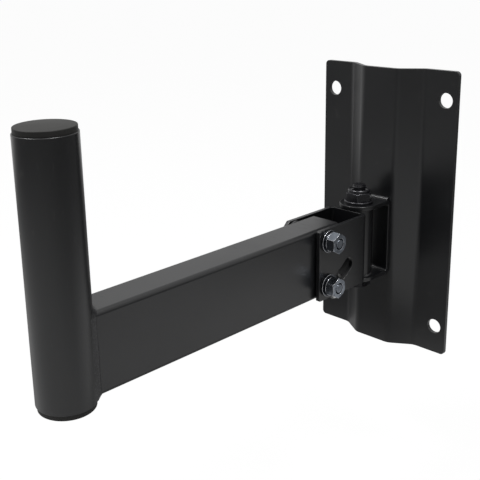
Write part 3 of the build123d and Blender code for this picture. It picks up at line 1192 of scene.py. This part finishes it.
@dataclass(frozen=True)
class Studio:
    """Pale floor, a glow card for the gloss, white surroundings, soft lamps and the photograph's camera."""

    floor_z: float = -0.206
    floor_grey: Colour = (0.86, 0.86, 0.86)
    card_z: float = -0.1072
    sheet_size: float = 30.0
    pools: tuple[LightPool, ...] = (
        LightPool((0.03, -0.50), 0.10, 0.75),
        LightPool((0.14, -0.12), 0.06, 0.36),
    )
    pool_level: float = 0.90
    floor_white: float = 0.95
    far_floor: float = 0.20
    low_floor: float = 0.5
    left_floor: float = 0.95
    left_span: tuple[float, float] = (0.35, 0.85)
    shaded_floor: float = 0.60
    shade_left: tuple[float, float] = (-0.35, -0.08)
    shade_right: tuple[float, float] = (0.055, 0.09)
    shade_front: tuple[float, float] = (-0.38, -0.28)
    shade_back: tuple[float, float] = (-0.06, 0.02)
    view_skew: float = 0.6
    horizon: float = 0.34
    ceiling: float = 0.90
    high_span: tuple[float, float] = (0.05, 0.40)
    back_span: tuple[float, float] = (-0.2, 0.8)
    back_share: float = 0.5
    room_light: float = 0.5
    camera_place: tuple[float, float, float] = (0.36524, -0.53070, 0.19305)
    camera_turn: tuple[float, float, float] = (73.6400, 1.6555, 46.9460)
    focal_length: float = 63.896
    shift: tuple[float, float] = (0.08459, -0.08551)
    lamps: tuple[SoftBox, ...] = (
        SoftBox("front_softbox", (-0.48, -0.74, 1.25), (0.0, -0.2, 0.0), 0.50, 0.34, 16.0),
        SoftBox("overhead_softbox", (0.42, -0.12, 1.35), (0.0, -0.15, 0.0), 0.30, 0.55, 14.0),
    )

    def build(self) -> None:
        """Set up everything round the object."""
        self.camera()
        self.floor()
        self.glow_card()
        self.surroundings()
        for lamp in self.lamps:
            lamp.make()
        bpy.context.scene.view_settings.view_transform = "Standard"

    def camera(self) -> None:
        """Stand the camera where the photograph was taken from."""
        data = bpy.data.cameras.new("photo_camera")
        data.sensor_width = 36.0
        data.lens = self.focal_length
        data.shift_x, data.shift_y = self.shift
        data.clip_start = 0.01
        camera = bpy.data.objects.new("photo_camera", data)
        camera.location = self.camera_place
        camera.rotation_euler = [radians(turn) for turn in self.camera_turn]
        bpy.context.scene.collection.objects.link(camera)
        bpy.context.scene.camera = camera

    def sheet(self, name: str, height: float) -> tuple[bpy.types.Object, Shader]:
        """Lay a level sheet that is no part of the object.

        Args:
            name: The sheet's name.
            height: Its height.

        Returns:
            The sheet and its material's empty tree.
        """
        mesh = bmesh.new()
        bmesh.ops.create_grid(mesh, x_segments=1, y_segments=1, size=self.sheet_size / 2)
        data = bpy.data.meshes.new(name)
        mesh.to_mesh(data)
        mesh.free()
        sheet = bpy.data.objects.new(name, data)
        sheet.location.z = height
        bpy.context.scene.collection.objects.link(sheet)
        material = bpy.data.materials.new(f"{name}_surface")
        data.materials.append(material)
        return sheet, Shader(material)

    @staticmethod
    def clear_from_below(shader: Shader, surface: bpy.types.Node) -> None:
        """Finish a sheet's material so that its underside lets everything through.

        Args:
            shader: The sheet's tree.
            surface: What its upper side shows.
        """
        clear = shader.node("ShaderNodeBsdfTransparent")
        below = shader.value(shader.node("ShaderNodeNewGeometry"), "Backfacing")
        sides = shader.blend(below, surface, clear)
        shader.node("ShaderNodeOutputMaterial", None, Surface=sides.outputs[0])

    def floor(self) -> None:
        """Lay the pale floor below the tilted arm's reach; it keeps the shadow and is clear from below."""
        _, shader = self.sheet("floor", self.floor_z)
        path = shader.node("ShaderNodeLightPath")
        camera_ray = shader.value(path, "Is Camera Ray")
        share = shader.larger(camera_ray * self.floor_white, shader.value(path, "Is Glossy Ray"))
        matt = shader.node("ShaderNodeBsdfDiffuse", None, Color=self.floor_grey)
        white = self.glow(shader, shader.larger(camera_ray, self.low_floor))
        self.clear_from_below(shader, shader.blend(share, matt, white))

    def glow_card(self) -> None:
        """Lay a card that only gloss sees, with pools of light and a shade under the object."""
        card, shader = self.sheet("glow_card", self.card_z)
        card.visible_camera = card.visible_diffuse = False
        card.visible_shadow = card.visible_transmission = False
        place = shader.node("ShaderNodeTexCoord").outputs["Object"]
        spot = shader.node("ShaderNodeSeparateXYZ", None, in0=place)
        right, back = shader.value(spot, "X"), shader.value(spot, "Y")
        pool = shader.larger(*(pool.share(shader, place) for pool in self.pools))
        left = shader.ramp(self.view_skew * back - right, *self.left_span)
        pool_rise, left_rise = self.pool_level - self.far_floor, self.left_floor - self.far_floor
        rise = shader.larger(pool_rise * pool, left_rise * left)
        across_shade = shader.ramp(right, *self.shade_left) * (1.0 - shader.ramp(right, *self.shade_right))
        along_shade = shader.ramp(back, *self.shade_front) * (1.0 - shader.ramp(back, *self.shade_back))
        level = (self.far_floor + rise) * (1.0 - self.shaded_floor * across_shade * along_shade)
        self.clear_from_below(shader, self.glow(shader, level))

    @staticmethod
    def glow(shader: Shader, level: Value) -> bpy.types.Node:
        """A white glow whose brightness is mixed in from darkness.

        Args:
            shader: The sheet's tree.
            level: The brightness, 0 to 1.

        Returns:
            The node that mixes the glow.
        """
        dark = shader.node("ShaderNodeEmission", None, Color=(0.0, 0.0, 0.0), Strength=0.0)
        white = shader.node("ShaderNodeEmission", None, Color=(1.0, 1.0, 1.0), Strength=1.0)
        return shader.blend(level, dark, white)

    def surroundings(self) -> None:
        """White to the camera; in gloss, bright overhead and behind the object, dimmer near the horizon."""
        world = bpy.data.worlds.new("white_studio")
        bpy.context.scene.world = world
        shader = Shader(world)
        path = shader.node("ShaderNodeLightPath")
        camera_ray, glossy_ray = shader.value(path, "Is Camera Ray"), shader.value(path, "Is Glossy Ray")
        through_ray = shader.value(path, "Is Transmission Ray")
        seen = shader.larger(shader.larger(camera_ray, glossy_ray), through_ray)
        direction = shader.node("ShaderNodeTexCoord").outputs["Generated"]
        spread = shader.node("ShaderNodeSeparateXYZ", None, in0=direction)
        high = shader.ramp(shader.value(spread, "Z"), *self.high_span)
        behind = shader.value(spread, "Y") - self.view_skew * shader.value(spread, "X")
        back = shader.ramp(behind, *self.back_span)
        rise = (self.ceiling - self.horizon) * shader.larger(high, self.back_share * back)
        level = shader.larger(camera_ray, self.horizon + rise)
        light = shader.node("ShaderNodeBackground", None, Color=(1.0, 1.0, 1.0), Strength=self.room_light)
        white = shader.node("ShaderNodeBackground", None, Color=(1.0, 1.0, 1.0), Strength=level)
        whole = shader.blend(seen, light, white)
        shader.node("ShaderNodeOutputWorld", None, Surface=whole.outputs[0])


def main() -> None:
    """Build the bracket's sub-assemblies in order, then the studio."""
    logging.basicConfig(level=logging.INFO, format="%(name)s: %(message)s")
    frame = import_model()
    nodes, finishes = frame["nodes"], FinishSet()
    groups = [
        WallPlate(nodes, finishes, Body.WALL),
        SwivelBracket(nodes, finishes, Body.WALL),
        Yoke(nodes, finishes, Body.YOKE),
        Arm(nodes, finishes, Body.ARM),
        ClampSet(nodes, finishes, Body.ARM, name="pivot"),
        ClampSet(nodes, finishes, Body.ARM, name="lock"),
    ]
    for group in groups:
        group.build()
        group.report()
    Studio().build()


if __name__ == "__main__":
    main()
